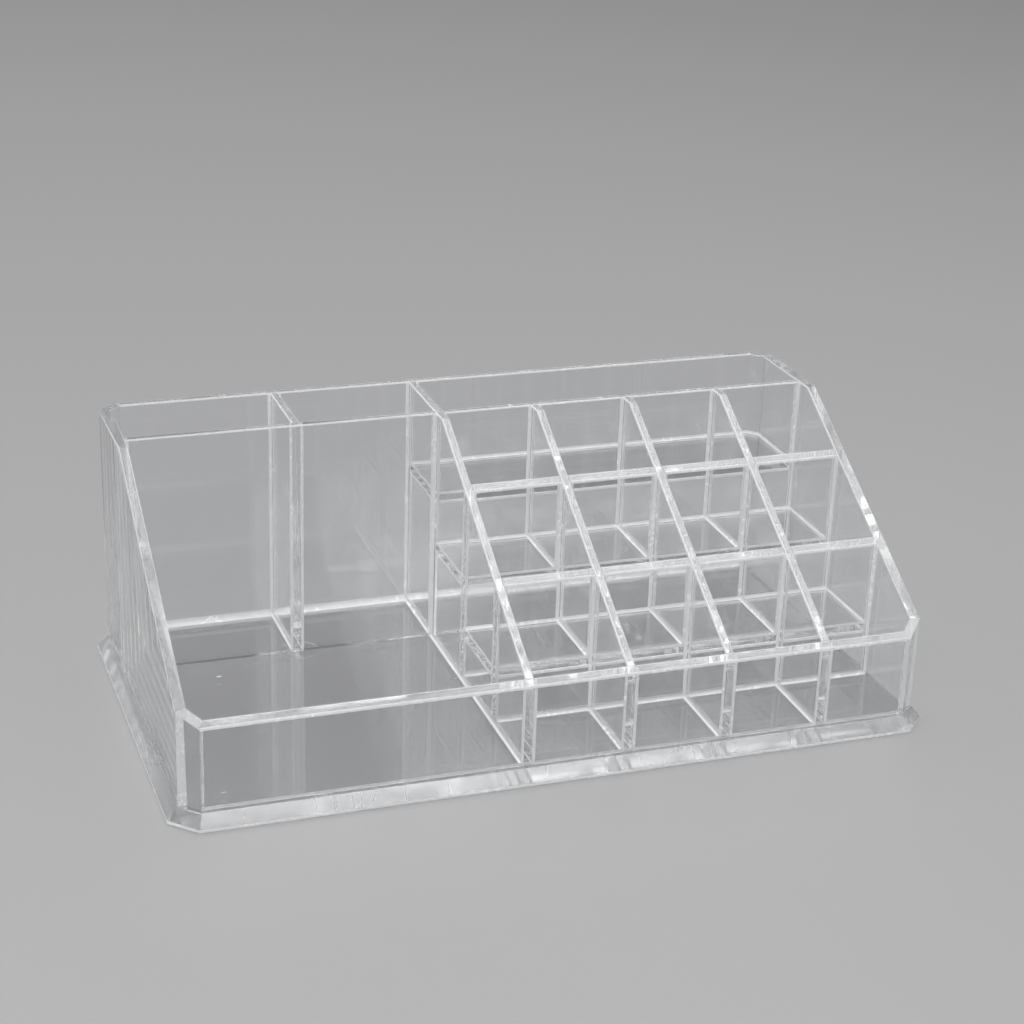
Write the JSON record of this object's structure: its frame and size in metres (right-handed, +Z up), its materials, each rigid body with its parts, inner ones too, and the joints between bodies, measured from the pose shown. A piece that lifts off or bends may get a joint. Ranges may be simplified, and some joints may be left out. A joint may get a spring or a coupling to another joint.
{
  "type": "vanity organizer",
  "caption": "Clear stepped vanity organizer on a flared plinth, with open trays, rear compartments and a raked block of lipstick cells between sloping dividers.",
  "frame": {"origin": "under the middle of the plinth, on the surface that the organizer stands on", "axes": "+X to the user's right along the width, +Y to the rear, +Z up"},
  "size_m": [0.222, 0.124, 0.0766],
  "materials": {
    "clear_plastic": "clear, colourless and polished, as moulded polystyrene or cast acrylic"
  },
  "bodies": {
    "root": {"base_plinth": "clear_plastic", "front_cross_divider": "clear_plastic", "front_left_corner": "clear_plastic", "front_right_corner": "clear_plastic", "front_wall": "clear_plastic", "left_side_wall": "clear_plastic", "lipstick_divider_1": "clear_plastic", "lipstick_divider_2": "clear_plastic", "lipstick_divider_3": "clear_plastic", "main_divider": "clear_plastic", "middle_cross_divider": "clear_plastic", "rear_divider": "clear_plastic", "rear_left_corner": "clear_plastic", "rear_right_corner": "clear_plastic", "rear_wall": "clear_plastic", "right_side_wall": "clear_plastic", "step_shelf_1": "clear_plastic", "step_shelf_2": "clear_plastic", "step_shelf_3": "clear_plastic", "tall_cross_panel": "clear_plastic"}
  },
  "joints": []
}
